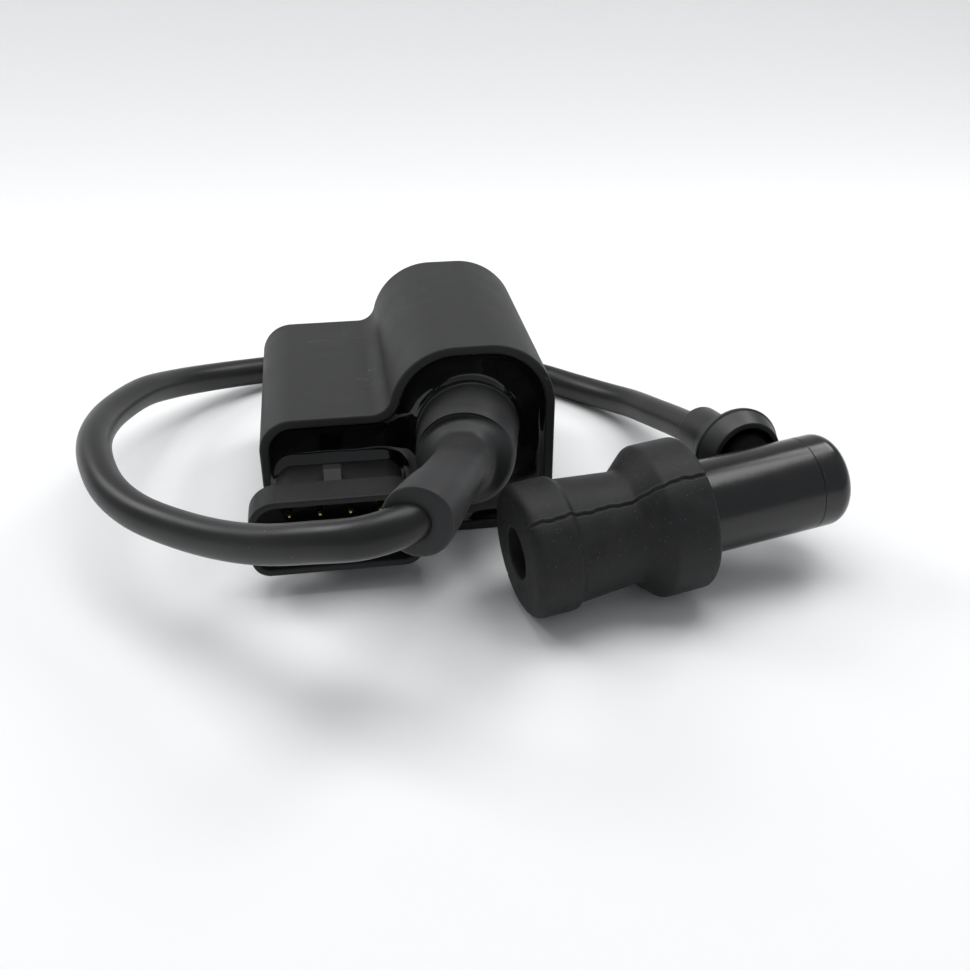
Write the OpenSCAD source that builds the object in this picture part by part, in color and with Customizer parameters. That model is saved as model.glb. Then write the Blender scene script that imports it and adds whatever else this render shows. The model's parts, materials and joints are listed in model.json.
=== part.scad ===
// Ignition coil for a small engine: a potted coil case with a four-pin header,
// a high-tension lead that leaves through a rubber elbow boot, and a right-angled
// plug cap with its rubber seal. Millimetres, +Z up, origin at the middle of the
// case's base, +X across the case, +Y from its open face to its back.

/* [Case] */
// Width of the case, across X
case_w = 60; // [58:1:66]
// Depth of the case, from its open face to its back
case_d = 52; // [50:1:60]
// Height of the round end of the case
dome_h = 42.5; // [42:0.5:46]
// Height of the low end of the case
low_h = 29; // [28.5:0.5:30]
// Thickness of the case's wall
wall = 2; // [1.5:0.25:2.5]
// How far the potting lies below the case's rim
resin_drop = 1.8; // [1:0.2:3]

/* [Header] */
// Width of the header's mouth
header_w = 33; // [32:0.5:33.5]
// Height of the header's mouth
header_h = 16.4; // [16:0.2:17]
// How far the header stands out of the case's rim
header_out = 18.5; // [17:0.5:20]
// Distance from pin to pin
pin_pitch = 6; // [5:0.5:6.5]

/* [High tension lead] */
// Diameter of the lead
lead_d = 7; // [6.4:0.2:7]

/* [Plug cap] */
// Radius of the cap's moulded barrel
barrel_r = 9.25; // [9.1:0.05:9.25]
// Length of the cap, from the seal's open end to the barrel's closed end
cap_l = 67; // [66:0.5:70]
// Radius of the seal's big ring
seal_ring_r = 14.9; // [14:0.1:14.9]
// Radius of the seal's open end
seal_end_r = 12.9; // [12:0.1:12.9]
// Radius of the hole that takes the spark plug's insulator
plug_hole_r = 5; // [4.6:0.1:5.4]

/* [Fixing] */
// Distance between the two threaded inserts in the base
insert_pitch = 40; // [38:1:42]
// Core radius of the inserts' thread
insert_core_r = 2.1; // [1.6:0.1:2.5]

/* [Hidden] */
$fn = 96;
eps = 0.05;          // overlap that joins two shapes of one solid
gap = 0.1;           // play around a piece held in another piece

// Case outline
face_y = -case_d/2;                 // rim of the open face
back_y = case_d/2;
resin_y = face_y + resin_drop;      // surface of the potting
low_corner_r = 7;                   // round top corner of the low end
valley_r = 4;                       // hollow corner between the low end and the dome
base_corner_r = 3;
dome_r = 13.8;                      // the two round shoulders of the dome
dome_flat = 6.2;                    // flat between the shoulders
dome_z = dome_h - dome_r;
dome_right_x = case_w/2 - dome_r;
dome_left_x = dome_right_x - dome_flat;
valley_z = low_h + valley_r;
valley_x = dome_left_x - sqrt(pow(dome_r + valley_r, 2) - pow(valley_z - dome_z, 2));
valley_a = atan2(valley_z - dome_z, valley_x - dome_left_x);   // where the dome's arc meets the valley's
arc_steps = 20;

// Fixing inserts
insert_r = 3.8;
insert_l = 8;
boss_r = 5.4;
boss_h = 9.2;

// Coil inside the dome and electronics inside the low end
coil_x = 13;
coil_z = 24.5;
coil_r = 14.3;
coil_y0 = -14;
coil_y1 = 20;
core_r = 4.6;
primary_r0 = 6;                     // winding's inner radius
primary_r1 = 8;
secondary_r0 = 9.6;
secondary_r1 = 13;
cheek = 1.6;                        // thickness of the bobbins' end cheeks
board_x0 = -26;
board_x1 = -3.2;
board_y = -11.8;                    // board's front face
board_t = 1.6;
board_z0 = 10.6;
board_z1 = 25.4;
board_back_y = 13;                  // room behind the board

// Header
header_x = -15.9;
header_z = 13.2;
header_y = face_y - header_out;     // mouth
neck_x = -14.6;                     // the neck sits a little to the right of the mouth
neck_w = 25.6;
neck_h = 11.6;
neck_end_y = -33.5;                 // the flare starts here
flare_end_y = -37.5;
header_top_r = 5.6;
header_low_r = 3.6;
shroud_wall = 1.4;
pin_floor_y = -28.5;
pin_tip_y = -36.5;
pin_t = 1.5;

// Tower and elbow boot
tower_x = 12;
tower_z = 24;
tower_r = 7.4;
tower_flange_r = 10.7;
flange_y = resin_y - 1.9;           // front face of the flange
tower_tip_y = -33;
boot_path = [[12.35, -24, 24.15], [12, -26.1, 24.1], [11.5, -29, 24], [10.9, -32, 23.8], [10.3, -35, 23.6], [9.9, -37, 23.6],
             [9.3, -39.2, 24.2], [8.7, -41.5, 25.1], [8, -44.5, 26.5], [7.1, -48.5, 28.2], [5.9, -53, 29.7],
             [4.2, -58.5, 31.3], [2.3, -64, 32.8], [0, -70, 34.3], [-3, -77, 35.5]];
boot_radii = [10.2, 10.2, 10.1, 10, 9.9, 9.5, 8, 6.3, 5.4, 5.2, 5.2, 5.3, 5.4, 5.8, 6.05];
boot_bore_end = [-3.64, -78.4, 35.75];   // just past the boot's end, for its bore
boot_seat_y = tower_tip_y - 1.2;         // floor of the boot's socket on the tower
terminal_r = 2.4;
terminal_y = -36.8;                      // front end of the tower's pin, inside the terminal

// Lead: from inside the boot, round the left of the case, along the ground behind it, to the cap
lead_route = [[4, -61, 31.5], [1, -69, 34], [-4, -76.5, 35.2], [-11.5, -77.5, 33.5], [-20, -73, 30.5],
              [-28, -67, 27], [-36, -59.5, 24], [-44, -51.5, 22], [-52, -43, 21], [-58, -34, 21],
              [-62, -23, 21], [-64, -12, 20.5], [-64, 0, 19], [-62, 12, 17], [-58.5, 24, 14.5],
              [-53.5, 35, 11], [-46.5, 44, 8], [-37.5, 51.5, 5.5], [-27, 56.5, 4], [-16, 59, 3.5],
              [-4, 59, 3.5], [8, 57.5, 3.5], [19.5, 53.5, 3.5], [30.5, 48, 3.5], [40, 42, 3.5],
              [48, 34, 3.5], [54.5, 25, 4.5], [59, 15.5, 6.5], [61.5, 5, 9], [63.5, -5, 11.5],
              [65, -15, 14], [66.5, -24.5, 16.5], [68.2, -34, 17.6], [69.5, -41.5, 17]];
lead_sides = 12;

// Plug cap: its own axis runs from the seal's open end to the barrel's closed end
cap_pos = [16.8, -55.5, 13.12];
cap_yaw = 9.5;
cap_tilt = 3.8;
barrel_t0 = 12;                     // barrel's open end, inside the seal
seam_t = 60;                        // joint between the barrel and its end plug
end_round = 3.4;
branch_t = 54.6;
branch_rise = 5;                    // the branch points up by this angle
branch_r = 5.2;
branch_s = 13.5;                    // branch's mouth, from the cap's axis
branch_bore_r = 4.1;
insulator_r = 6.6;                  // room for the spark plug's insulator
insulator_t = 24;
contact_r = 5.1;                    // bore for the contacts and the resistor
contact_t = 52;
socket_r = 3.2;                     // takes the spark plug's terminal nut
socket_l = 8;
spring_t = 34;
resistor_t = 38;
screw_t = 50.5;
bridge_r = 2;                       // brass bridge from the resistor to the lead's screw
spigot_r = 6.4;                     // end plug's spigot inside the barrel
spigot_l = 1.6;
seal_bore_r = barrel_r + 0.06;      // sliding fit on the barrel
seal_lip = 3;
seal_waist_t = 21.5;
seal_cone_t = 26.1;
seal_face_t = 35;

// Lead grommet: a bell on the lead's end, over the branch's mouth
grommet_pos = [68.2, -34, 17.6];
grommet_yaw = 10;
grommet_drop = 8;

// ---- curves ----
function dot3(a, b) = a[0]*b[0] + a[1]*b[1] + a[2]*b[2];
function unit(v) = v/norm(v);
function clamp_index(p, i) = p[max(0, min(len(p) - 1, i))];
// Catmull-Rom point between p[i] and p[i + 1]
function spline_point(p, i, u) =
    let (a = clamp_index(p, i - 1), b = p[i], c = clamp_index(p, i + 1), d = clamp_index(p, i + 2))
    0.5*(2*b + (c - a)*u + (2*a - 5*b + 4*c - d)*u*u + (3*b - a - 3*c + d)*u*u*u);
function spline(p, n) = [for (i = [0:len(p) - 2], k = [0:n - 1]) spline_point(p, i, k/n), p[len(p) - 1]];
function tangent(p, i) = unit(clamp_index(p, i + 1) - clamp_index(p, i - 1));
function side_of(t) = unit(cross(t, [0, 0, 1]));

// Tube along a path: one ring of points at each path point, with its own radius
module sweep(path, radii, sides) {
    rings = len(path);
    points = [for (i = [0:rings - 1], k = [0:sides - 1])
        let (t = tangent(path, i), s = side_of(t), u = cross(s, t), a = 360*k/sides)
        path[i] + radii[i]*(cos(a)*s + sin(a)*u)];
    walls = [for (i = [0:rings - 2], k = [0:sides - 1])
        let (m = (k + 1) % sides)
        [i*sides + k, i*sides + m, (i + 1)*sides + m, (i + 1)*sides + k]];
    first = [for (k = [sides - 1:-1:0]) k];
    last = [for (k = [0:sides - 1]) (rings - 1)*sides + k];
    polyhedron(points, concat(walls, [first, last]), convexity = 8);
}

// ---- places ----
module along_y(y0, y1) {
    // a flat outline in X and Z, carried from y0 to y1
    translate([0, y1, 0]) rotate([90, 0, 0]) linear_extrude(y1 - y0) children();
}
module rod_y(x, z, r, y0, y1) {
    translate([x, y1, z]) rotate([90, 0, 0]) cylinder(r = r, h = y1 - y0);
}
module ring_y(x, z, r0, r1, y0, y1) {
    difference() {
        rod_y(x, z, r1, y0, y1);
        rod_y(x, z, r0, y0 - 1, y1 + 1);
    }
}
module on_cap(t) {
    translate(cap_pos) rotate([0, 90 - cap_tilt, cap_yaw]) translate([0, 0, t]) children();
}
module on_branch(s) {
    on_cap(branch_t) rotate([0, 0, branch_rise]) rotate([-90, 0, 0]) translate([0, 0, s]) children();
}

// ---- case ----
// points of an arc round c, from angle a0 to a1
function arc(c, r, a0, a1) = [for (i = [0:arc_steps]) let (a = a0 + (a1 - a0)*i/arc_steps) c + r*[cos(a), sin(a)]];
module case_outline(inset) {
    half = case_w/2;
    polygon(concat(
        arc([base_corner_r - half, base_corner_r], base_corner_r - inset, 180, 270),
        arc([half - base_corner_r, base_corner_r], base_corner_r - inset, 270, 360),
        arc([dome_right_x, dome_z], dome_r - inset, 0, 90),
        arc([dome_left_x, dome_z], dome_r - inset, 90, valley_a),
        arc([valley_x, valley_z], valley_r + inset, valley_a + 180, 270),
        arc([low_corner_r - half, low_h - low_corner_r], low_corner_r - inset, 90, 180)));
}
module boss(x) {
    translate([x, 0, 0]) cylinder(r = boss_r, h = boss_h);
}
module case() {
    color([0.13, 0.13, 0.14])
    difference() {
        union() {
            difference() {
                along_y(face_y, back_y) case_outline(0);
                along_y(face_y - 1, back_y - wall) case_outline(wall);
            }
            intersection() {
                for (side = [-1, 1]) boss(side*insert_pitch/2);
                along_y(face_y, back_y) case_outline(wall/2);
            }
            for (side = [-1, 1]) translate([side*insert_pitch/2, 0, 0]) cylinder(r = boss_r, h = wall);
        }
        for (side = [-1, 1]) translate([side*insert_pitch/2, 0, -1]) cylinder(r = insert_r, h = insert_l + 1);
    }
}
module insert(side) {
    color([0.78, 0.62, 0.3])
    translate([side*insert_pitch/2, 0, 0])
    difference() {
        cylinder(r = insert_r, h = insert_l);
        translate([0, 0, -1]) cylinder(r = insert_core_r, h = insert_l);
    }
}
module potting_resin() {
    color([0.02, 0.02, 0.02])
    difference() {
        along_y(resin_y, back_y - wall) case_outline(wall);
        for (side = [-1, 1]) boss(side*insert_pitch/2);
        rod_y(coil_x, coil_z, coil_r, coil_y0, coil_y1);
        translate([board_x0, board_y, board_z0])
            cube([board_x1 - board_x0, board_back_y - board_y, board_z1 - board_z0]);
        header_neck(resin_y - 1, board_y + eps);
        rod_y(tower_x, tower_z, tower_r, resin_y - 1, coil_y0 + eps);
    }
}

// ---- header ----
module mouth_outline(w, h, top_r, low_r) {
    for (s = [-1, 1]) {
        translate([s*(w/2 - top_r), h/2 - top_r]) circle(r = top_r);
        translate([s*(w/2 - low_r), low_r - h/2]) circle(r = low_r);
    }
    translate([top_r - w/2, -h/2]) square([w - 2*top_r, h]);
    translate([low_r - w/2, -h/2]) square([w - 2*low_r, h - top_r]);
    translate([-w/2, low_r - h/2]) square([w, h - top_r - low_r]);
}
module header_outline(inset, wide) {
    // wide is 1 at the mouth and 0 at the neck
    w = neck_w + (header_w - neck_w)*wide - 2*inset;
    h = neck_h + (header_h - neck_h)*wide - 2*inset;
    top_r = header_top_r - 1.6*(1 - wide) - inset;
    low_r = header_low_r - inset;
    x = neck_x + (header_x - neck_x)*wide;
    translate([x, header_z]) mouth_outline(w, h, top_r, low_r);
}
module header_neck(y0, y1) {
    along_y(y0, y1) header_outline(0, 0);
}
module header_flare(inset, y0, y1) {
    hull() {
        along_y(y0 - eps, y0) header_outline(inset, 1, $fn = 32);
        along_y(y1, y1 + eps) header_outline(inset, 0, $fn = 32);
    }
}
module header_shroud() {
    color([0.1, 0.1, 0.11])
    difference() {
        union() {
            along_y(header_y, flare_end_y) header_outline(0, 1);
            header_flare(0, flare_end_y, neck_end_y);
            header_neck(neck_end_y - eps, board_y);
            // locking ramp
            translate([header_x - 1.8, 0, header_z])
                rotate([90, 0, 90]) linear_extrude(3.6)
                polygon([[-31, neck_h/2 - 1], [-31, neck_h/2 + 2.6], [-33, neck_h/2 + 2.6], [-37, neck_h/2 + 0.6],
                         [-37, neck_h/2 - 1]]);
        }
        along_y(header_y - 1, flare_end_y + eps) header_outline(shroud_wall, 1);
        header_flare(shroud_wall, flare_end_y, neck_end_y);
        along_y(neck_end_y - eps, pin_floor_y) header_outline(shroud_wall, 0);
        for (i = [0:3]) pin_shape(i, 0);
    }
}
module pin_shape(i, grow) {
    x = header_x + (i - 1.5)*pin_pitch;
    t = pin_t + 2*grow;
    translate([x - t/2, pin_tip_y, header_z - t/2]) cube([t, board_y - pin_tip_y, t]);
}
module header_pin(i) {
    color([0.8, 0.65, 0.35]) pin_shape(i, -0.02);
}

// ---- tower, boot and lead ----
module ht_tower() {
    color([0.06, 0.06, 0.07])
    difference() {
        union() {
            rod_y(tower_x, tower_z, tower_flange_r, flange_y, resin_y);
            rod_y(tower_x, tower_z, tower_r, tower_tip_y, coil_y0);
        }
        rod_y(tower_x, tower_z, 1.5 + gap, tower_tip_y - 1, coil_y0 + 1);
    }
}
module tower_pin() {
    color([0.8, 0.65, 0.35]) rod_y(tower_x, tower_z, 1.5, terminal_y, coil_y0);
}
module lead_terminal() {
    path = concat([for (p = boot_path) if (p[1] < tower_tip_y - 3 && p[1] > lead_route[0][1] + 2) p], [lead_route[0]]);
    color([0.8, 0.65, 0.35]) sweep(path, [for (p = path) terminal_r], 16);
}
module elbow_boot() {
    path = spline(boot_path, 3);
    radii = [for (p = spline([for (r = boot_radii) [r, 0, 0]], 3)) p[0]];
    bore_from = 9;                  // the bore starts inside the tower's socket
    color([0.16, 0.16, 0.17])
    difference() {
        sweep(path, radii, 32);
        rod_y(tower_x, tower_z, tower_r, boot_seat_y, flange_y + 1);
        rod_y(tower_x, tower_z, 14, flange_y, flange_y + 8);      // the collar ends flat on the flange
        sweep(concat([for (i = [bore_from:len(path) - 1]) path[i]], [boot_bore_end]),
              [for (i = [bore_from:len(path)]) lead_d/2 + 2*gap], 24);
    }
}
module ht_lead() {
    path = spline(lead_route, 2);
    color([0.07, 0.07, 0.08]) sweep(path, [for (p = path) lead_d/2], lead_sides);
}
module lead_grommet() {
    color([0.1, 0.1, 0.1])
    translate(grommet_pos) rotate([-90 - grommet_drop, 0, grommet_yaw])
    rotate_extrude()
    polygon([[7.2, -1.8], [8.6, -1.2], [9.4, -0.4], [9.6, 0.3], [9.5, 1.2], [9, 2.6], [7.9, 4.6], [6.3, 6.6], [5.5, 8.6], [5.3, 10.5], [5.3, 18.5],
             [lead_d/2 + gap, 18.5], [lead_d/2 + gap, 5.6], [7.4, 3.4], [7.8, 1.2], [6.9, -0.6], [6.6, -1.8]]);
}

// ---- coil and electronics ----
module bobbin(r0, r1, tube) {
    // a tube with two cheeks
    ring_y(coil_x, coil_z, r0, r0 + tube, coil_y0, coil_y1);
    ring_y(coil_x, coil_z, r0, r1, coil_y0, coil_y0 + cheek);
    ring_y(coil_x, coil_z, r0, r1, coil_y1 - cheek, coil_y1);
}
module iron_core() {
    color([0.35, 0.35, 0.37]) rod_y(coil_x, coil_z, core_r, coil_y0, coil_y1);
}
module primary_bobbin() {
    color([0.85, 0.82, 0.7]) bobbin(core_r + gap, primary_r1 + 0.3, primary_r0 - core_r - gap);
}
module primary_winding() {
    color([0.7, 0.35, 0.15])
    ring_y(coil_x, coil_z, primary_r0 + gap/2, primary_r1, coil_y0 + cheek, coil_y1 - cheek);
}
module secondary_bobbin() {
    color([0.9, 0.88, 0.8]) {
        bobbin(primary_r1 + 0.4, coil_r - gap, secondary_r0 - primary_r1 - 0.4);
        // thin dividers share the high voltage between the chambers
        for (i = [1:4]) ring_y(coil_x, coil_z, secondary_r0 - eps, coil_r - gap,
                               divider_y(i) - 0.4, divider_y(i) + 0.4);
    }
}
function divider_y(i) = coil_y0 + cheek + i*(coil_y1 - coil_y0 - 2*cheek)/5;
module secondary_winding() {
    color([0.6, 0.28, 0.12])
    for (i = [0:4]) ring_y(coil_x, coil_z, secondary_r0 + gap/2, secondary_r1,
                           (i == 0 ? divider_y(0) : divider_y(i) + 0.4),
                           (i == 4 ? divider_y(5) : divider_y(i + 1) - 0.4));
}
module circuit_board() {
    color([0.1, 0.4, 0.2])
    translate([board_x0 + gap, board_y, board_z0 + gap])
        cube([board_x1 - board_x0 - 2*gap, board_t, board_z1 - board_z0 - 2*gap]);
}
module on_board(x, z) {
    // x and z from the board's lower left corner, y out of its back face
    translate([board_x0 + x, board_y + board_t, board_z0 + z]) children();
}
module storage_capacitor() {
    color([0.7, 0.2, 0.15]) on_board(1.5, 7) cube([13, 20, 7]);
}
module thyristor() {
    color([0.12, 0.12, 0.12]) on_board(16, 7) {
        cube([6.5, 10, 4.4]);
        translate([0.5, 0, -1.2]) for (i = [0:2]) translate([i*2.4, 0, 0]) cube([0.7, 3, 1.2 + eps]);
    }
}
module axial_part(r, l) {
    // a small part lying along X with a wire at each end, bent down to the board
    translate([0, 2, 0]) rotate([0, 90, 0]) {
        cylinder(r = r, h = l);
        translate([0, 0, -1]) cylinder(r = 0.35, h = l + 2);
    }
    for (x = [-1, l + 1]) translate([x, 2.3, 0]) rotate([90, 0, 0]) cylinder(r = 0.35, h = 2.3);
}
module charge_diode() {
    color([0.15, 0.15, 0.15]) on_board(2.5, 1.9) axial_part(1.4, 5);
}
module trigger_diode() {
    color([0.6, 0.3, 0.2]) on_board(10.6, 1.9) axial_part(1, 4);
}
module gate_resistor() {
    color([0.75, 0.65, 0.45]) on_board(17.6, 1.9) axial_part(1.1, 3.6);
}
module bleed_resistor() {
    color([0.75, 0.65, 0.45]) on_board(17.4, 13.2) axial_part(1.1, 3.6);
}

// ---- plug cap ----
module cap_barrel() {
    color([0.05, 0.05, 0.05])
    difference() {
        union() {
            on_cap(barrel_t0) cylinder(r = barrel_r, h = seam_t - barrel_t0);
            on_branch(0) cylinder(r = branch_r, h = branch_s);
        }
        on_cap(0) rotate_extrude()
            polygon([[0, barrel_t0 - 1], [insulator_r, barrel_t0 - 1], [insulator_r, insulator_t],
                     [contact_r, insulator_t], [contact_r, contact_t], [bridge_r + 0.4, contact_t],
                     [bridge_r + 0.4, branch_t], [0, branch_t]]);
        on_branch(-3) cylinder(r = branch_bore_r, h = branch_s + 4);
        on_cap(seam_t - spigot_l) cylinder(r = spigot_r + gap, h = spigot_l + 1);
    }
}
module cap_end_plug() {
    color([0.05, 0.05, 0.05])
    on_cap(0) rotate_extrude()
    union() {
        translate([0, seam_t - spigot_l]) square([spigot_r, spigot_l + eps]);
        translate([0, seam_t]) square([barrel_r, cap_l - seam_t - end_round]);
        translate([0, seam_t]) square([barrel_r - end_round, cap_l - seam_t]);
        translate([barrel_r - end_round, cap_l - end_round])
            intersection() {
                circle(r = end_round);
                square(end_round);
            }
    }
}
module plug_terminal() {
    color([0.8, 0.65, 0.35])
    on_cap(insulator_t) difference() {
        cylinder(r = contact_r - gap, h = spring_t - insulator_t);
        translate([0, 0, -1]) cylinder(r = socket_r, h = socket_l + 1);
    }
}
module contact_spring() {
    turns = 2.6;
    steps = 26;
    wire = 0.45;
    rise = resistor_t - spring_t - 2*wire;
    path = [for (i = [0:steps]) let (a = 360*turns*i/steps)
        [2.6*cos(a), 2.6*sin(a), wire + rise*i/steps]];
    color([0.75, 0.75, 0.78]) on_cap(spring_t) sweep(path, [for (p = path) wire], 8);
}
module suppressor_resistor() {
    color([0.85, 0.8, 0.7]) on_cap(resistor_t) {
        cylinder(r = 3.4, h = screw_t - resistor_t);
        cylinder(r = 4, h = 1.6);
        translate([0, 0, screw_t - resistor_t - 1.6]) cylinder(r = 4, h = 1.6);
    }
}
module lead_screw() {
    color([0.8, 0.65, 0.35]) {
        on_cap(screw_t) cylinder(r = 4.4, h = 1.3);
        on_cap(screw_t + 1) cylinder(r = bridge_r, h = branch_t - screw_t - 1.4);
        on_branch(-2) cylinder(r = 1.6, h = 5);
    }
}
module seal_boot() {
    color([0.11, 0.11, 0.12])
    on_cap(0) rotate_extrude()
    polygon([[plug_hole_r, 0], [seal_end_r - 0.7, 0], [seal_end_r, 0.8], [seal_end_r, 8.2], [seal_end_r - 0.5, 8.7],
             [12.1, 9.1], [10.9, seal_waist_t], [seal_ring_r - 0.6, seal_cone_t - 0.6], [seal_ring_r, seal_cone_t],
             [seal_ring_r, seal_face_t - 0.8], [seal_ring_r - 0.8, seal_face_t], [seal_bore_r, seal_face_t],
             [seal_bore_r, seal_lip + 1], [plug_hole_r, seal_lip]]);
}

case();
potting_resin();
insert(-1);  // insert_left
insert(1);  // insert_right
header_shroud();
header_pin(0);  // header_pin_1
header_pin(1);  // header_pin_2
header_pin(2);  // header_pin_3
header_pin(3);  // header_pin_4
ht_tower();
tower_pin();
lead_terminal();
elbow_boot();
ht_lead();
lead_grommet();
iron_core();
primary_bobbin();
primary_winding();
secondary_bobbin();
secondary_winding();
circuit_board();
storage_capacitor();
thyristor();
charge_diode();
trigger_diode();
gate_resistor();
bleed_resistor();
cap_barrel();
cap_end_plug();
plug_terminal();
contact_spring();
suppressor_resistor();
lead_screw();
seal_boot();
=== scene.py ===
# %% [markdown]
# # A potted ignition coil with its lead and plug cap
#
# The object is a small black ignition coil. A plastic case holds the coil, sealed in glossy resin.
# A four-pin header stands out of the resin, and a thick lead leaves through a rubber elbow boot,
# runs round the case and ends in a right-angled plug cap with a rubber seal.
#
# The CAD frame is loaded first. It fixes the sizes and places, so that every surface made here
# can be written down with the same dimensions as the part, in millimetres, and scaled once.

# %% Load the fixed frame
import math
import json
import bpy
import numpy as np
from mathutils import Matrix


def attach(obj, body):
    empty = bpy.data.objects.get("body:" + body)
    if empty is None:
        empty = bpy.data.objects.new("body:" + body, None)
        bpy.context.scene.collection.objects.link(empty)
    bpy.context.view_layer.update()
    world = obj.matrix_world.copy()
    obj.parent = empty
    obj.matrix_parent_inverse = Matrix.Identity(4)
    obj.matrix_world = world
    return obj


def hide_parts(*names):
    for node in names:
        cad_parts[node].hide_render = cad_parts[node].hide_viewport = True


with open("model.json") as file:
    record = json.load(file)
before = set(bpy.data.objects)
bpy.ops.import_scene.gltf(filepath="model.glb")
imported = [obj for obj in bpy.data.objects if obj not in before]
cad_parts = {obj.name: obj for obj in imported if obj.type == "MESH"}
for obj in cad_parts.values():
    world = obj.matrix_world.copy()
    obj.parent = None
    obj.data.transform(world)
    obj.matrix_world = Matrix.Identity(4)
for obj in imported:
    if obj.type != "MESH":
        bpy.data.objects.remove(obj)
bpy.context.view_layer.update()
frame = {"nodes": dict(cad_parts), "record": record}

MM = 0.001
scene = bpy.context.scene

# %% [markdown]
# ## Camera
#
# A camera is placed by its position and its turn. Blender's camera looks down its own -Z axis, so
# a turn of 90 degrees about X makes it look level, and a smaller turn makes it look down.
# A long lens seen from close by would flatten the case, so the lens is a medium one of about 41 mm.

# %% Place the camera
CAMERA_PLACE = np.array([-14.9, -222.4, 127.0])*MM
LOOK_DOWN = math.radians(30.3)
LOOK_RIGHT = math.radians(8.8)
camera_data = bpy.data.cameras.new("camera")
camera_data.lens = 40.7
camera_data.clip_start = 0.01
camera = bpy.data.objects.new("camera", camera_data)
camera.location = CAMERA_PLACE
camera.rotation_euler = (math.pi/2 - LOOK_DOWN, 0, -LOOK_RIGHT)
scene.collection.objects.link(camera)
scene.camera = camera
print("camera at", CAMERA_PLACE.tolist(), "m, looking", round(math.degrees(LOOK_DOWN), 1), "degrees down")

# %% [markdown]
# ## Meshes from grids
#
# Nearly every piece here is a skin over rings of points: a profile turned about an axis, an outline
# carried along a line, or a circle carried along a path. So one function makes the faces for all of
# them. The rings are a numpy array of shape (rings, points, 3), and the faces are index arithmetic.
# The volume's sign tells if the faces point inwards, and then their order is reversed.

# %% Skin over rings
def ring_faces(rings, sides, closed):
    """Four-sided faces that join point k of ring i to point k + 1 and to the same points of ring i + 1."""
    i = np.arange(rings if closed else rings - 1)[:, None]
    k = np.arange(sides)[None, :]
    nxt = (i + 1) % rings
    k1 = (k + 1) % sides
    quads = np.stack([i*sides + k, i*sides + k1, nxt*sides + k1, nxt*sides + k], axis=-1)
    return quads.reshape(-1, 4)


def signed_volume(points, faces):
    """Sum of the tetrahedra from the origin to each face, split in triangles.

    It is negative if faces point inwards.
    """
    total = 0.0
    for corner in range(1, faces.shape[1] - 1):
        a, b, c = points[faces[:, 0]], points[faces[:, corner]], points[faces[:, corner + 1]]
        total += np.einsum("ij,ij->i", a, np.cross(b, c)).sum()/6
    return total


def skin(name, rings, closed=False):
    """A closed mesh over rings of points in mm. An open run of rings gets a fan of triangles at each end.

    A fan starts at the middle of its ring's box. The points' average is pulled to where they are dense,
    and on the case it falls where the hollow corner hides part of the edge, so its fan would fold over.
    """
    rings = np.asarray(rings, float)
    count, sides = rings.shape[:2]
    points = rings.reshape(-1, 3)
    quads = ring_faces(count, sides, closed)
    parts = [quads]
    if not closed:
        middles = [(ring.min(axis=0) + ring.max(axis=0))/2 for ring in (rings[0], rings[-1])]
        points = np.vstack([points, middles])
        k = np.arange(sides)
        k1 = (k + 1) % sides
        last = (count - 1)*sides
        first_fan = np.stack([k1, k, np.full(sides, len(points) - 2)], axis=-1)
        last_fan = np.stack([last + k, last + k1, np.full(sides, len(points) - 1)], axis=-1)
        parts += [first_fan, last_fan]
    volume = sum(signed_volume(points, part) for part in parts)
    if volume < 0:
        parts = [part[:, ::-1] for part in parts]
    mesh = bpy.data.meshes.new(name)
    mesh.from_pydata((points*MM).tolist(), [], [face for part in parts for face in part.tolist()])
    mesh.shade_smooth()
    piece = bpy.data.objects.new(name, mesh)
    scene.collection.objects.link(piece)
    print(name, len(mesh.polygons), "faces,", round(abs(volume)), "mm3")
    return piece

# %% [markdown]
# ## Curves and rounded corners
#
# A Catmull-Rom spline passes through every one of its points, which is handy for a cord's route.
# Moulded parts have no sharp corners, so each profile is written with its plain corners and a
# radius for each, and a function puts the arcs in. That is easier to change than a bevel.

# %% Spline, arc and rounded profile
def spline(route, steps):
    """Catmull-Rom curve: a cubic between two points.

    Its slope at each point is half the step between that point's neighbours.
    """
    route = np.asarray(route, float)
    padded = np.vstack([route[:1], route, route[-1:]])
    a, b, c, d = padded[:-3], padded[1:-2], padded[2:-1], padded[3:]
    u = (np.arange(steps)/steps)[None, :, None]
    a, b, c, d = (p[:, None, :] for p in (a, b, c, d))
    run = 0.5*(2*b + (c - a)*u + (2*a - 5*b + 4*c - d)*u**2 + (3*b - a - 3*c + d)*u**3)
    return np.vstack([run.reshape(-1, route.shape[1]), route[-1:]])


def arc(centre, radius, start, stop, steps=14):
    """Points on a circle's arc, from one angle in degrees to another."""
    angle = np.radians(np.linspace(start, stop, steps + 1))[:, None]
    return np.asarray(centre, float) + radius*np.hstack([np.cos(angle), np.sin(angle)])


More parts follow.
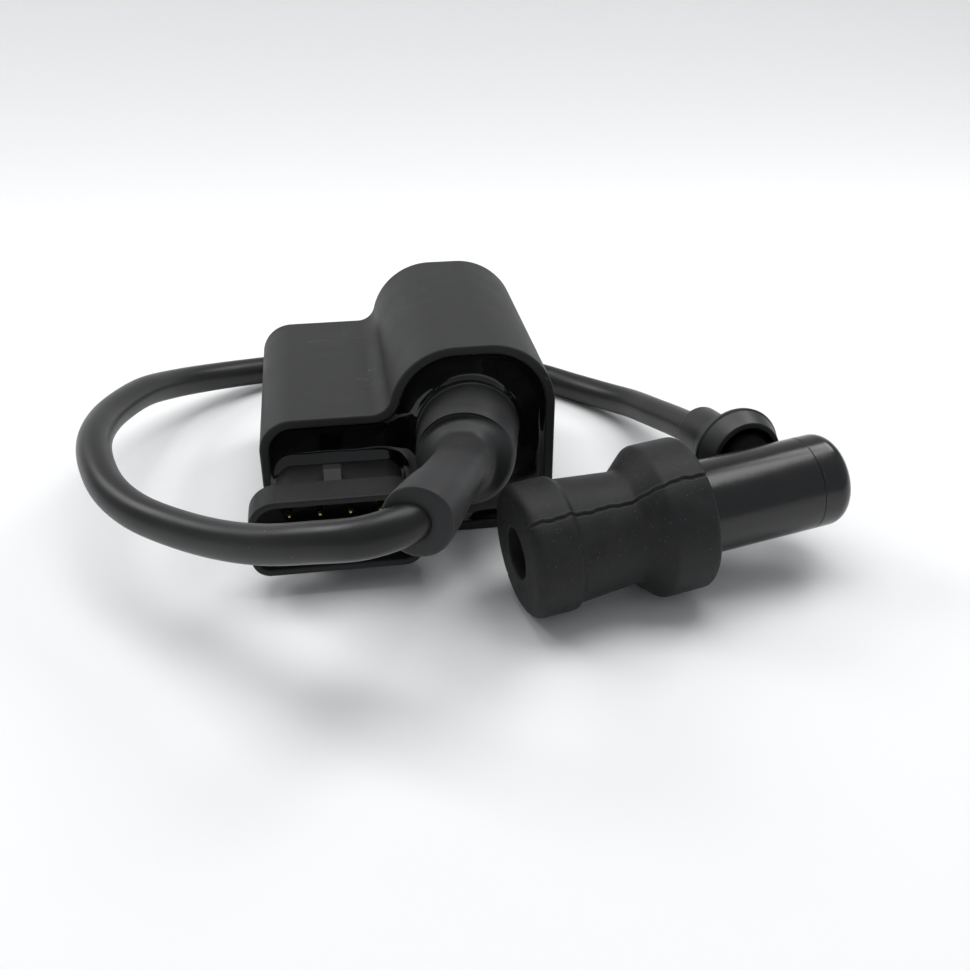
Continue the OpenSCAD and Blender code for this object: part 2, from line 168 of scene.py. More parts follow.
def rounded(corners, radii, closed=False, steps=5):
    """Each corner is replaced by a circle's arc that touches both of its sides.

    The arc meets them radius/tan(half the corner's angle) away from the corner.
    """
    corners = [np.asarray(c, float) for c in corners]
    count = len(corners)
    out = []
    for i, radius in enumerate(radii):
        here = corners[i]
        if radius == 0 or (not closed and i in (0, count - 1)):
            out.append(here[None, :])
            continue
        before = corners[i - 1] - here
        after = corners[(i + 1) % count] - here
        before, after = before/np.linalg.norm(before), after/np.linalg.norm(after)
        half = math.acos(np.clip(before @ after, -1, 1))/2
        reach = radius/math.tan(half)
        middle = here + (before + after)/np.linalg.norm(before + after)*radius/math.sin(half)
        p, q = here + before*reach - middle, here + after*reach - middle
        turn = math.pi - 2*half
        w = np.linspace(0, 1, steps + 1)[:, None]
        out.append(middle + (np.sin((1 - w)*turn)*p + np.sin(w*turn)*q)/math.sin(turn))
    return np.vstack(out)


def frames_along(path):
    """At each point of a path: its direction, a level side vector, and the vector square to both."""
    ahead = np.gradient(path, axis=0)
    ahead /= np.linalg.norm(ahead, axis=1, keepdims=True)
    side = np.cross(ahead, [0.0, 0.0, 1.0])
    side /= np.linalg.norm(side, axis=1, keepdims=True)
    return ahead, side, np.cross(side, ahead)


def tube(path, radii, sides):
    """Circles of the given radii carried along a path, square to it.

    The radii may vary round the circle too.
    """
    ahead, side, up = frames_along(path)
    angle = np.linspace(0, 2*np.pi, sides, endpoint=False)
    radii = np.broadcast_to(np.asarray(radii, float).reshape(len(path), -1), (len(path), sides))[..., None]
    round_it = np.cos(angle)[None, :, None]*side[:, None, :] + np.sin(angle)[None, :, None]*up[:, None, :]
    return path[:, None, :] + radii*round_it

# %% [markdown]
# ## Masks and bumps that several finishes share
#
# Every surface here is black, so what tells them apart is the grain, the gloss and the dust.
# Those are made once as node groups with named sockets, and each material places a group with its
# own values. All patterns read Object coordinates in metres, so they stay on the piece when it moves.

# %% Node helpers
def new_group(name, inputs, outputs):
    """An empty shader group. inputs and outputs are lists of (name, socket type, default)."""
    group = bpy.data.node_groups.new(name, "ShaderNodeTree")
    for label, kind, default in inputs:
        socket = group.interface.new_socket(name=label, in_out="INPUT", socket_type=kind)
        if default is not None:
            socket.default_value = default
    for label, kind, default in outputs:
        group.interface.new_socket(name=label, in_out="OUTPUT", socket_type=kind)
    return group, group.nodes.new("NodeGroupInput"), group.nodes.new("NodeGroupOutput")


def add(tree, kind, values=(), links=(), **settings):
    """One node. values are (socket, value) pairs and links are (socket, output to join) pairs."""
    node = tree.nodes.new(kind)
    for key, value in settings.items():
        setattr(node, key, value)
    for key, value in values:
        node.inputs[key].default_value = value
    for key, output in links:
        tree.links.new(output, node.inputs[key])
    return node


def ramp(tree, source, low, high, to_low=0.0, to_high=1.0):
    """Source is stretched so that low gives to_low and high gives to_high, with nothing outside them."""
    node = add(tree, "ShaderNodeMapRange", [("From Min", low), ("From Max", high), ("To Min", to_low),
                                            ("To Max", to_high)], [("Value", source)])
    node.clamp = True
    return node.outputs["Result"]


def maths(tree, operation, first, second):
    """A Math node on two outputs, or on an output and a number."""
    node = tree.nodes.new("ShaderNodeMath")
    node.operation = operation
    for i, value in enumerate((first, second)):
        if isinstance(value, (int, float)):
            node.inputs[i].default_value = value
        else:
            tree.links.new(value, node.inputs[i])
    return node.outputs[0]

# %% The shared groups: grain, clouding, dust and scratches
VECTOR, FLOAT = "NodeSocketVector", "NodeSocketFloat"

grain, g_in, g_out = new_group("grain", [("Place", VECTOR, None), ("Per metre", FLOAT, 4000.0)],
                               [("Height", FLOAT, None)])
fine = add(grain, "ShaderNodeTexNoise", [("Detail", 3.0), ("Roughness", 0.6)],
           [("Vector", g_in.outputs["Place"]), ("Scale", g_in.outputs["Per metre"])])
grain.links.new(fine.outputs["Fac"], g_out.inputs["Height"])

clouds, c_in, c_out = new_group("clouds", [("Place", VECTOR, None), ("Per metre", FLOAT, 120.0)],
                                [("Mask", FLOAT, None)])
broad = add(clouds, "ShaderNodeTexNoise", [("Detail", 4.0), ("Roughness", 0.55), ("Distortion", 0.4)],
            [("Vector", c_in.outputs["Place"]), ("Scale", c_in.outputs["Per metre"])])
clouds.links.new(ramp(clouds, broad.outputs["Fac"], 0.32, 0.68), c_out.inputs["Mask"])

dust, d_in, d_out = new_group("dust", [("Place", VECTOR, None), ("Per metre", FLOAT, 1400.0),
                                       ("Cover", FLOAT, 0.1), ("Size", FLOAT, 0.16)], [("Mask", FLOAT, None)])
cells = add(dust, "ShaderNodeTexVoronoi", [("Randomness", 1.0)],
            [("Vector", d_in.outputs["Place"]), ("Scale", d_in.outputs["Per metre"])])
lot = add(dust, "ShaderNodeSeparateColor", links=[("Color", cells.outputs["Color"])])
chosen = maths(dust, "LESS_THAN", lot.outputs["Red"], d_in.outputs["Cover"])
reach = maths(dust, "MULTIPLY", lot.outputs["Green"], d_in.outputs["Size"])
inside = maths(dust, "LESS_THAN", cells.outputs["Distance"], reach)
dust.links.new(maths(dust, "MULTIPLY", chosen, inside), d_out.inputs["Mask"])

scratches, s_in, s_out = new_group("scratches", [("Place", VECTOR, None), ("Per metre", FLOAT, 60.0),
                                                 ("Cover", FLOAT, 0.3)], [("Mask", FLOAT, None)])
stretch = add(scratches, "ShaderNodeMapping", [("Rotation", (0.3, 0.5, 0.9)), ("Scale", (1.0, 9.0, 9.0))],
              [("Vector", s_in.outputs["Place"])])
lines = add(scratches, "ShaderNodeTexNoise", [("Detail", 1.0), ("Distortion", 0.6)],
            [("Vector", stretch.outputs[0]), ("Scale", s_in.outputs["Per metre"])])
centre_line = maths(scratches, "ABSOLUTE", maths(scratches, "SUBTRACT", lines.outputs["Fac"], 0.5), 0.0)
thin = ramp(scratches, centre_line, 0.0, 0.006, 1.0, 0.0)
where = add(scratches, "ShaderNodeTexNoise", [("Scale", 45.0), ("Detail", 0.0)],
            [("Vector", s_in.outputs["Place"])])
patch = maths(scratches, "LESS_THAN", where.outputs["Fac"], s_in.outputs["Cover"])
scratches.links.new(maths(scratches, "MULTIPLY", thin, patch), s_out.inputs["Mask"])
print("shared groups:", ", ".join(g.name for g in bpy.data.node_groups))

# %% [markdown]
# ## One recipe for a moulded finish
#
# A moulding is a base colour that varies a little, a roughness that varies with handling, a fine
# grain as bump, and some dust that is lighter and rougher than what it lies on. The recipe takes
# those as numbers. What is the same all over the surface is set on the shader's own socket.

# %% The moulded finish
def grey(value):
    return (value, value*1.01, value*1.04, 1.0)


def place_group(tree, group, place, **values):
    """A shared group, joined to the piece's coordinates, with this material's own values."""
    node = tree.nodes.new("ShaderNodeGroup")
    node.node_tree = group
    tree.links.new(place, node.inputs["Place"])
    for key, value in values.items():
        node.inputs[key.replace("_", " ")].default_value = value
    return node.outputs[0]


def mix_colour(tree, mask, first, second):
    """Colour between first and second by the mask. Either may be a colour or another node's output."""
    node = tree.nodes.new("ShaderNodeMix")
    node.data_type = "RGBA"
    tree.links.new(mask, node.inputs["Factor"])
    for socket, value in ((node.inputs[6], first), (node.inputs[7], second)):
        if isinstance(value, tuple):
            socket.default_value = value
        else:
            tree.links.new(value, socket)
    return node.outputs[2]


def moulded(name, dark, light, smooth, rough, grain_size=0.25, grain_depth=0.02, dust_cover=0.05,
            dust_size=0.7, dust_spread=0.16, cloud_size=8.0, scratch_cover=0.0, specular=0.5, coat=0.0,
            metallic=0.0, dust_grey=0.3):
    """A material. Sizes and depths are in mm.

    dark and light are colours, and smooth and rough are roughnesses.
    """
    material = bpy.data.materials.new(name)
    material.use_nodes = True
    tree = material.node_tree
    shader = tree.nodes["Principled BSDF"]
    place = tree.nodes.new("ShaderNodeTexCoord").outputs["Object"]
    cloud = place_group(tree, clouds, place, Per_metre=1000/cloud_size)
    specks = place_group(tree, dust, place, Per_metre=1000/dust_size, Cover=dust_cover, Size=dust_spread)
    height = place_group(tree, grain, place, Per_metre=1000/grain_size)
    colour = mix_colour(tree, cloud, dark, light)
    if scratch_cover > 0:
        marks = place_group(tree, scratches, place, Per_metre=60.0, Cover=scratch_cover)
        colour = mix_colour(tree, maths(tree, "MULTIPLY", marks, 0.25), colour, grey(dust_grey))
    colour = mix_colour(tree, specks, colour, grey(dust_grey))
    tree.links.new(colour, shader.inputs["Base Color"])
    gloss = ramp(tree, cloud, 0.0, 1.0, smooth, rough)
    dull_specks = maths(tree, "MULTIPLY", specks, 0.3)
    tree.links.new(maths(tree, "ADD", gloss, dull_specks), shader.inputs["Roughness"])
    bump = add(tree, "ShaderNodeBump", [("Strength", 1.0), ("Distance", grain_depth*MM)],
               [("Height", height)])
    tree.links.new(bump.outputs["Normal"], shader.inputs["Normal"])
    shader.inputs["Specular IOR Level"].default_value = specular
    shader.inputs["Metallic"].default_value = metallic
    shader.inputs["Coat Weight"].default_value = coat
    shader.inputs["Coat Roughness"].default_value = 0.08
    print("finish", name)
    return material


FINISH = {
    "lead_jacket": moulded("lead_jacket", grey(0.007), grey(0.011), 0.32, 0.40, grain_size=1.2,
                           grain_depth=0.012, dust_cover=0.03, dust_spread=0.1, cloud_size=14.0,
                           specular=0.35),
}

# %% [markdown]
# ## The high-tension lead
#
# The lead is a 7 mm cable, too stiff to fold: it leaves the boot, swings round the left of the case,
# lies on the ground behind it and rises to the plug cap. A cord can be a curve with a round bevel,
# or circles carried along a path. The path is used here, so that the CAD's own route gives the shape.

# %% Carry the lead along its route
LEAD_D = 7.0
LEAD_ROUTE = np.array([
    [4, -61, 31.5], [1, -69, 34], [-4, -76.5, 35.2], [-11.5, -77.5, 33.5], [-20, -73, 30.5],
    [-28, -67, 27], [-36, -59.5, 24], [-44, -51.5, 22], [-52, -43, 21], [-58, -34, 21],
    [-62, -23, 21], [-64, -12, 20.5], [-64, 0, 19], [-62, 12, 17], [-58.5, 24, 14.5],
    [-53.5, 35, 11], [-46.5, 44, 8], [-37.5, 51.5, 5.5], [-27, 56.5, 4], [-16, 59, 3.5],
    [-4, 59, 3.5], [8, 57.5, 3.5], [19.5, 53.5, 3.5], [30.5, 48, 3.5], [40, 42, 3.5],
    [48, 34, 3.5], [54.5, 25, 4.5], [59, 15.5, 6.5], [61.5, 5, 9], [63.5, -5, 11.5],
    [65, -15, 14], [66.5, -24.5, 16.5], [68.2, -34, 17.6], [69.5, -41.5, 17]])
lead_path = spline(LEAD_ROUTE, 6)
lead = skin("lead", tube(lead_path, np.full(len(lead_path), LEAD_D/2), 40))
lead_length = np.linalg.norm(np.diff(lead_path, axis=0), axis=1).sum()
print("lead length", round(lead_length, 1), "mm")

def belongs(piece, body, slot, *nodes):
    """The piece rides on a body and takes its finish from a slot.

    It stands for the CAD nodes that it replaces.
    """
    piece.data.materials.clear()
    piece.data.materials.append(FINISH[slot])
    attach(piece, body)
    if nodes:
        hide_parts(*nodes)


belongs(lead, "root", "lead_jacket", "ht_lead")

# %% [markdown]
# ## Floor, backdrop and light
#
# The floor is a pale sweep that lies flat under the object and curves up into a wall behind it, so
# there is no hard horizon. Its colour is painted darker towards the wall, as painted shade for the dimmer
# light on the rising wall.
#
# The light is soft: a broad panel above and a little behind the object
# throws its shadow gently forwards, and two weaker panels at the sides add the paler side shadows.

# %% Sweep of floor and wall
FLAT_END = 230.0
SWEEP_R = 420.0
sweep_side = np.vstack([[[-1500.0, 0.0]], [[FLAT_END, 0.0]],
                        arc([FLAT_END, SWEEP_R], SWEEP_R, -90, 0, 40), [[FLAT_END + SWEEP_R, 1500.0]]])
across = np.array([-1800.0, 1800.0])
y_grid, x_grid = np.meshgrid(sweep_side[:, 0], across, indexing="ij")
z_grid = np.repeat(sweep_side[:, 1:], 2, axis=1) - 0.05
floor_points = np.stack([x_grid, y_grid, z_grid], axis=-1).reshape(-1, 3)*MM
strip = np.arange(len(sweep_side) - 1)[:, None]*2
floor_mesh = bpy.data.meshes.new("floor")
floor_mesh.from_pydata(floor_points.tolist(), [], (strip + np.array([[0, 1, 3, 2]])).tolist())
floor_mesh.shade_smooth()
floor = bpy.data.objects.new("floor", floor_mesh)
scene.collection.objects.link(floor)

paper = bpy.data.materials.new("paper")
paper.use_nodes = True
paper_shader = paper.node_tree.nodes["Principled BSDF"]
paper_shader.inputs["Roughness"].default_value = 0.7
far = paper.node_tree.nodes.new("ShaderNodeSeparateXYZ")
paper.node_tree.links.new(paper.node_tree.nodes.new("ShaderNodeTexCoord").outputs["Object"], far.inputs[0])
# painted shade: the paper's colour falls from 0.86 near the object to 0.42 at the wall, standing in for the
# shade the wall stands in
painted_wall_shade = ramp(paper.node_tree, far.outputs["Y"], 0.14, 0.62, 0.86, 0.42)
paper.node_tree.links.new(painted_wall_shade, paper_shader.inputs["Base Color"])
floor_mesh.materials.append(paper)

# %% Panels and surrounding light
def panel(name, place, target, width, height, watts):
    """A soft rectangular light at one point, facing another. Places and sizes are in mm."""
    light = bpy.data.lights.new(name, "AREA")
    light.shape = "RECTANGLE"
    light.size = width*MM
    light.size_y = height*MM
    light.energy = watts
    lamp = bpy.data.objects.new(name, light)
    place, target = np.array(place, float), np.array(target, float)
    lamp.location = place*MM
    toward = target - place
    lamp.rotation_euler = (math.atan2(np.hypot(toward[0], toward[1]), -toward[2]), 0,
                           math.atan2(toward[1], toward[0]) - math.pi/2)
    scene.collection.objects.link(lamp)
    return lamp


panel("ceiling_panel", [40, 130, 900], [0, -20, 0], 900, 500, 5.6)
panel("right_panel", [520, 360, 640], [0, 0, 20], 320, 320, 1.6)
panel("left_panel", [-560, 420, 600], [0, 0, 20], 320, 320, 2.0)
world = bpy.data.worlds.new("room")
world.use_nodes = True
world.node_tree.nodes["Background"].inputs["Color"].default_value = (0.93, 0.96, 1.0, 1.0)
world.node_tree.nodes["Background"].inputs["Strength"].default_value = 0.42
scene.world = world
scene.view_settings.view_transform = "Standard"

# %% [markdown]
# ## The case
#
# The case is one outline, low on the left and domed on the right, carried straight back from its
# open face. It could be a box with bevels, but the hollow corner between the two heights is an arc
# that touches the dome's arc, so the outline is built from arcs whose centres are worked out.

# %% Outline of the case
CASE_W, CASE_D, DOME_H, LOW_H, WALL = 60.0, 52.0, 42.5, 29.0, 2.0
FACE_Y, BACK_Y = -CASE_D/2, CASE_D/2
LOW_R, VALLEY_R, BASE_R, DOME_R, DOME_FLAT = 7.0, 4.0, 3.0, 13.8, 6.2
DOME_Z = DOME_H - DOME_R
DOME_X1 = CASE_W/2 - DOME_R
DOME_X0 = DOME_X1 - DOME_FLAT
VALLEY_Z = LOW_H + VALLEY_R
VALLEY_X = DOME_X0 - math.sqrt((DOME_R + VALLEY_R)**2 - (VALLEY_Z - DOME_Z)**2)
VALLEY_A = math.degrees(math.atan2(VALLEY_Z - DOME_Z, VALLEY_X - DOME_X0))


def outline(inset):
    """The case's outline in X and Z: six arcs joined by straight sides.

    An inset moves every side inwards.
    """
    half = CASE_W/2
    return np.vstack([
        arc([BASE_R - half, BASE_R], BASE_R - inset, 180, 270, 8),
        arc([half - BASE_R, BASE_R], BASE_R - inset, 270, 360, 8),
        arc([DOME_X1, DOME_Z], DOME_R - inset, 0, 90, 32),
        arc([DOME_X0, DOME_Z], DOME_R - inset, 90, VALLEY_A, 28),
        arc([VALLEY_X, VALLEY_Z], VALLEY_R + inset, VALLEY_A + 180, 270, 16),
        arc([LOW_R - half, LOW_H - LOW_R], LOW_R - inset, 90, 180, 16)])


def ring_at(shape, y):
    """A flat outline in X and Z, set at one Y."""
    return np.column_stack([shape[:, 0], np.full(len(shape), y), shape[:, 1]])

# %% Shell of the case
BACK_R, RIM_R = 1.5, 0.45
run = rounded([[BACK_Y, 6.0], [BACK_Y, 0.0], [FACE_Y, 0.0], [FACE_Y, WALL], [BACK_Y - WALL, WALL],
               [BACK_Y - WALL, 6.0]], [0, BACK_R, RIM_R, RIM_R, 0.3, 0])
run = run[(run[:, 1] <= WALL + 1e-6)]
case = skin("coil_case", [ring_at(outline(inset), y) for y, inset in run])


def weigh_normals(piece):
    """Flat faces keep their flat shading next to small rounded edges."""
    weigh = piece.modifiers.new("weigh", "WEIGHTED_NORMAL")
    weigh.keep_sharp = False


def cut_or_join(piece, tool, operation):
    """The piece's mesh becomes what the exact Boolean of piece and tool leaves, and the tool goes."""
    boolean = piece.modifiers.new("boolean", "BOOLEAN")
    boolean.object = tool
    boolean.operation = operation
    boolean.solver = "EXACT"
    bpy.context.view_layer.update()
    result = piece.evaluated_get(bpy.context.evaluated_depsgraph_get())
    mesh = bpy.data.meshes.new_from_object(result)
    piece.modifiers.clear()
    piece.data = mesh
    mesh.shade_smooth()
    bpy.data.objects.remove(tool)


def turned(name, profile, origin, axis, sides=96, closed=False, swell=None):
    """A profile of (along, radius) pairs turned about an axis.

    swell may change the radius at each angle.
    """
    axis = np.asarray(axis, float)
    side = np.cross(axis, [0.0, 0.0, 1.0] if abs(axis[2]) < 0.9 else [0.0, 1.0, 0.0])
    side /= np.linalg.norm(side)
    up = np.cross(side, axis)
    angle = np.linspace(0, 2*np.pi, sides, endpoint=False) if swell is None else swell.angles
    along, radius = profile[:, 0][:, None, None], profile[:, 1][:, None]
    radius = np.repeat(radius, len(angle), axis=1)
    if swell is not None:
        radius = radius + swell(profile, angle)
    spoke = np.cos(angle)[None, :, None]*side + np.sin(angle)[None, :, None]*up
    rings = np.asarray(origin, float) + along*axis + radius[..., None]*spoke
    return skin(name, rings, closed)


INSERT_X, INSERT_R, BOSS_R, BOSS_H = 20.0, 3.8, 5.4, 9.2
for x in (-INSERT_X, INSERT_X):
    boss = turned("boss", np.array([[0.5, BOSS_R], [BOSS_H, BOSS_R]]), [x, 0, 0], [0, 0, 1], 64)
    cut_or_join(case, boss, "UNION")
    hole = turned("hole", np.array([[-1.0, INSERT_R], [8.0, INSERT_R]]), [x, 0, 0], [0, 0, 1], 64)
    cut_or_join(case, hole, "DIFFERENCE")
weigh_normals(case)
FINISH["case_plastic"] = moulded("case_plastic", grey(0.019), grey(0.023), 0.5, 0.58, grain_size=0.35,
                                 grain_depth=0.03, dust_cover=0.012, dust_spread=0.12, scratch_cover=0.33,
                                 specular=0.3)
belongs(case, "root", "case_plastic", "case")

# %% [markdown]
# ## The potting
#
# The resin is poured to just below the rim and sets like black glass. It climbs a little wherever
# it meets a wall, and its surface is never quite flat, which bends the reflections in it.
# The CAD's block keeps its place, and a thin skin on it carries the climbing edge and the waves.
# The height falls away from each wall as an exponential of the distance to it.

# %% Distances on the resin's face
RESIN_Y = FACE_Y + 1.8
NECK_X, NECK_W, NECK_H, HEADER_X, HEADER_Z = -14.6, 25.6, 11.6, -15.9, 13.2
TOWER_X, TOWER_Z, FLANGE_R = 12.0, 24.0, 10.7


def distance_to(loop, x, z):
    """Shortest distance from each grid point to a closed line of points.

    The point is dropped square onto each stretch, and the nearest foot counts.
    """
    a = loop
    b = np.roll(loop, -1, axis=0)
    p = np.stack([x.ravel(), z.ravel()], axis=-1)[:, None, :]
    run = b - a
    share = np.clip(((p - a)*run).sum(-1)/np.maximum((run**2).sum(-1), 1e-12), 0, 1)
    gap = p - a - share[..., None]*run
    return np.sqrt((gap**2).sum(-1)).min(axis=1).reshape(x.shape)


def is_inside(loop, x, z):
    """A point is inside if a level line from it crosses the loop an odd number of times."""
    a = loop
    b = np.roll(loop, -1, axis=0)
    px, pz = x.ravel()[:, None], z.ravel()[:, None]
    spans = (a[:, 1] > pz) != (b[:, 1] > pz)
    rise = np.where(np.abs(b[:, 1] - a[:, 1]) < 1e-9, 1e-9, b[:, 1] - a[:, 1])
    crossing = a[:, 0] + (pz - a[:, 1])/rise*(b[:, 0] - a[:, 0])
    return ((spans & (px < crossing)).sum(axis=1) % 2 == 1).reshape(x.shape)


def round_rect(x, z, w, h, top_r, low_r, steps=10):
    """A rectangle with one radius for its top corners and another for its low ones, centred on x and z."""
    left, right, low, top = x - w/2, x + w/2, z - h/2, z + h/2
    return np.vstack([arc([left + low_r, low + low_r], low_r, 180, 270, steps),
                      arc([right - low_r, low + low_r], low_r, 270, 360, steps),
                      arc([right - top_r, top - top_r], top_r, 0, 90, steps),
                      arc([left + top_r, top - top_r], top_r, 90, 180, steps)])

# %% Skin of resin with a climbing edge
STEP = 0.4
gx, gz = np.meshgrid(np.arange(-29.0, 29.2, STEP), np.arange(1.0, 41.6, STEP), indexing="ij")
inner = outline(WALL)
neck_loop = round_rect(NECK_X, HEADER_Z, NECK_W, NECK_H, 4.0, 3.6)
to_wall = distance_to(inner, gx, gz)*np.where(is_inside(inner, gx, gz), 1, 0)
to_neck = distance_to(neck_loop, gx, gz)*np.where(is_inside(neck_loop, gx, gz), 0, 1)
to_flange = np.maximum(np.hypot(gx - TOWER_X, gz - TOWER_Z) - FLANGE_R, 0)
climb = 1.1*np.exp(-to_wall/0.8) + 1.9*np.exp(-to_neck/0.9) + 0.5*np.exp(-to_flange/0.6)
waves = 0.06*np.sin(gx*0.55 + 1.3*np.sin(gz*0.31)) + 0.05*np.sin(gz*0.7 + 0.9*np.sin(gx*0.4) + 1.0)
surface_y = RESIN_Y - 0.08 - climb - waves*np.clip(to_wall/2, 0, 1)
mid_x, mid_z = gx[:-1, :-1] + STEP/2, gz[:-1, :-1] + STEP/2
kept = is_inside(outline(WALL - 1.0), mid_x, mid_z)
columns = gx.shape[1]
i, k = np.nonzero(kept)
corner = i*columns + k
cells = np.stack([corner, corner + columns, corner + columns + 1, corner + 1], axis=-1)
used, compact = np.unique(cells, return_inverse=True)
resin_points = np.stack([gx, surface_y, gz], axis=-1).reshape(-1, 3)[used]*MM
resin_mesh = bpy.data.meshes.new("resin_skin")
resin_mesh.from_pydata(resin_points.tolist(), [], compact.reshape(cells.shape).tolist())
resin_mesh.shade_smooth()
resin_skin = bpy.data.objects.new("resin_skin", resin_mesh)
scene.collection.objects.link(resin_skin)
facing = np.array(resin_mesh.polygons[0].normal)[1]
thick = resin_skin.modifiers.new("thickness", "SOLIDIFY")
thick.thickness = 0.3*MM
thick.offset = -1 if facing < 0 else 1
print("resin skin", len(resin_mesh.polygons), "faces, facing", round(float(facing), 2))
FINISH["resin"] = moulded("resin", grey(0.003), grey(0.004), 0.03, 0.05, grain_size=3.0, grain_depth=0.01,
                          dust_cover=0.006, dust_spread=0.1, cloud_size=10.0, coat=0.0)
belongs(resin_skin, "root", "resin")

# %% [markdown]
# ## The header
#
# The loom's plug pushes into this shroud. Its neck rises out of the resin, flares out and ends in a
# wider mouth, with a ramp on top that the plug's catch rides over. One run of rounded rectangles
# makes it all: out along the outside, round the rim, and back down the inside to the pins' floor.

# %% Shroud of the header
HEADER_W, HEADER_H, HEADER_Y, SHROUD = 33.0, 16.4, -44.5, 1.4
NECK_END, FLARE_END, PIN_FLOOR, BOARD_Y = -33.5, -37.5, -28.5, -11.8


def header_loop(wide, inset):
    """The header's outline: wide is 1 at its mouth, 0 at its neck, and between them on the flare."""
    w = NECK_W + (HEADER_W - NECK_W)*wide - 2*inset
    h = NECK_H + (HEADER_H - NECK_H)*wide - 2*inset
    x = NECK_X + (HEADER_X - NECK_X)*wide
    return round_rect(x, HEADER_Z, w, h, 4.0 + 1.6*wide - inset, 3.6 - inset)


outside = rounded([[BOARD_Y, 0.0], [NECK_END, 0.0], [FLARE_END, 1.0], [HEADER_Y, 1.0]], [0, 1.5, 1.5, 0])
inside = rounded([[HEADER_Y, 1.0], [FLARE_END, 1.0], [NECK_END, 0.0], [PIN_FLOOR, 0.0]], [0, 1.0, 1.0, 0])
shroud_run = [(y, wide, 0.0) for y, wide in outside[:-1]]
shroud_run += [(HEADER_Y + 0.35, 1.0, 0.0), (HEADER_Y + 0.1, 1.0, 0.1), (HEADER_Y, 1.0, 0.35),
               (HEADER_Y, 1.0, SHROUD - 0.35), (HEADER_Y + 0.1, 1.0, SHROUD - 0.1),
               (HEADER_Y + 0.35, 1.0, SHROUD)]
shroud_run += [(y, wide, SHROUD) for y, wide in inside[1:]]
shroud = skin("header_shroud_skin", [ring_at(header_loop(wide, inset), y) for y, wide, inset in shroud_run])
weigh_normals(shroud)

# %% Ramp and pins
ramp_side = rounded([[-31.0, 18.4], [-31.0, 21.5], [-33.2, 21.5], [-37.2, 19.4], [-37.2, 18.4]],
                    [0, 0.4, 0.4, 0.4, 0], closed=True, steps=3)
ramp_rings = np.stack([np.column_stack([np.full(len(ramp_side), HEADER_X + s), ramp_side]) for s in
                       (-1.8, -1.6, 1.6, 1.8)])
squeeze = np.array([0.94, 1.0, 1.0, 0.94])[:, None, None]
ramp_middle = ramp_rings.mean(axis=1, keepdims=True)
ramp_scale = np.where([[[0, 1, 1]]], squeeze, 1.0)
latch_ramp = skin("latch_ramp", ramp_middle + (ramp_rings - ramp_middle)*ramp_scale)
weigh_normals(latch_ramp)

PIN_TIP, PIN_HALF, PIN_PITCH = -36.5, 0.66, 6.0
FINISH["header_plastic"] = moulded("header_plastic", grey(0.012), grey(0.016), 0.44, 0.54, grain_size=0.5,
                                   grain_depth=0.02, dust_cover=0.02, dust_spread=0.12, specular=0.22)
FINISH["pin_metal"] = moulded("pin_metal", (0.6, 0.42, 0.17, 1.0), (0.72, 0.54, 0.27, 1.0), 0.22, 0.36,
                              grain_size=0.4, grain_depth=0.005, dust_cover=0.0, metallic=1.0, specular=0.5)
belongs(shroud, "root", "header_plastic", "header_shroud")
belongs(latch_ramp, "root", "header_plastic")
for number in range(4):
    x = HEADER_X + (number - 1.5)*PIN_PITCH
    reach = [(BOARD_Y, 1.0), (PIN_TIP + 0.9, 1.0), (PIN_TIP + 0.15, 0.5), (PIN_TIP, 0.3)]
    rings = [ring_at(round_rect(x, HEADER_Z, 2*PIN_HALF*s, 2*PIN_HALF*s, 0.2*s, 0.2*s, 3), y)
             for y, s in reach]
    blade = skin(f"pin_{number + 1}", rings)
    weigh_normals(blade)
    belongs(blade, "root", "pin_metal", f"header_pin_{number + 1}")

# %% [markdown]
# ## The tower's flange and the elbow boot
#
# The lead's terminal stands in a plastic tower with a round flange. A soft rubber boot is pushed
# over it: a collar, a cone that narrows, and an elbow that turns the lead aside. The boot is a tube
# whose radius changes along the path and also round it, where the rubber bulges and dimples.

# %% Tower
TOWER_R, TOWER_TIP, COIL_Y0 = 7.4, -33.0, -14.0
FLANGE_Y = RESIN_Y - 1.9
tower_profile = rounded([[COIL_Y0, 1.6], [COIL_Y0, TOWER_R], [RESIN_Y, TOWER_R], [RESIN_Y, FLANGE_R],
                         [FLANGE_Y, FLANGE_R], [FLANGE_Y, TOWER_R], [TOWER_TIP, TOWER_R], [TOWER_TIP, 1.6]],
                        [0, 0, 0, 0.2, 0.45, 0, 0.5, 0], closed=True)
tower_profile[:, 0] *= -1
tower = turned("tower_flange", tower_profile, [TOWER_X, 0, TOWER_Z], [0, -1, 0], 96, closed=True)
weigh_normals(tower)
FINISH["tower_plastic"] = moulded("tower_plastic", grey(0.014), grey(0.018), 0.3, 0.4, grain_size=0.6,
                                  grain_depth=0.01, dust_cover=0.02, dust_spread=0.1)
belongs(tower, "root", "tower_plastic", "ht_tower")

# %% Elbow boot
BOOT_PATH = np.array([[12.35, -24, 24.15], [12, -26.1, 24.1], [11.5, -29, 24], [10.9, -32, 23.8],
                      [10.3, -35, 23.6], [9.9, -37, 23.6],
                      [9.3, -39.2, 24.2], [8.7, -41.5, 25.1], [8, -44.5, 26.5], [7.1, -48.5, 28.2],
                      [5.9, -53, 29.7],
                      [4.2, -58.5, 31.3], [2.3, -64, 32.8], [0, -70, 34.3], [-3, -77, 35.5]])
BOOT_RADII = np.array([10.2, 10.2, 10.1, 10.0, 9.9, 9.5, 8.0, 6.3, 5.4, 5.2, 5.2, 5.3, 5.4, 5.8, 6.05])
BOOT_SIDES = 96
boot_path = spline(BOOT_PATH, 8)
boot_radii = spline(BOOT_RADII[:, None], 8)[:, 0]
boot_s = np.arange(len(boot_path))/8
boot_angle = np.linspace(0, 360, BOOT_SIDES, endpoint=False)


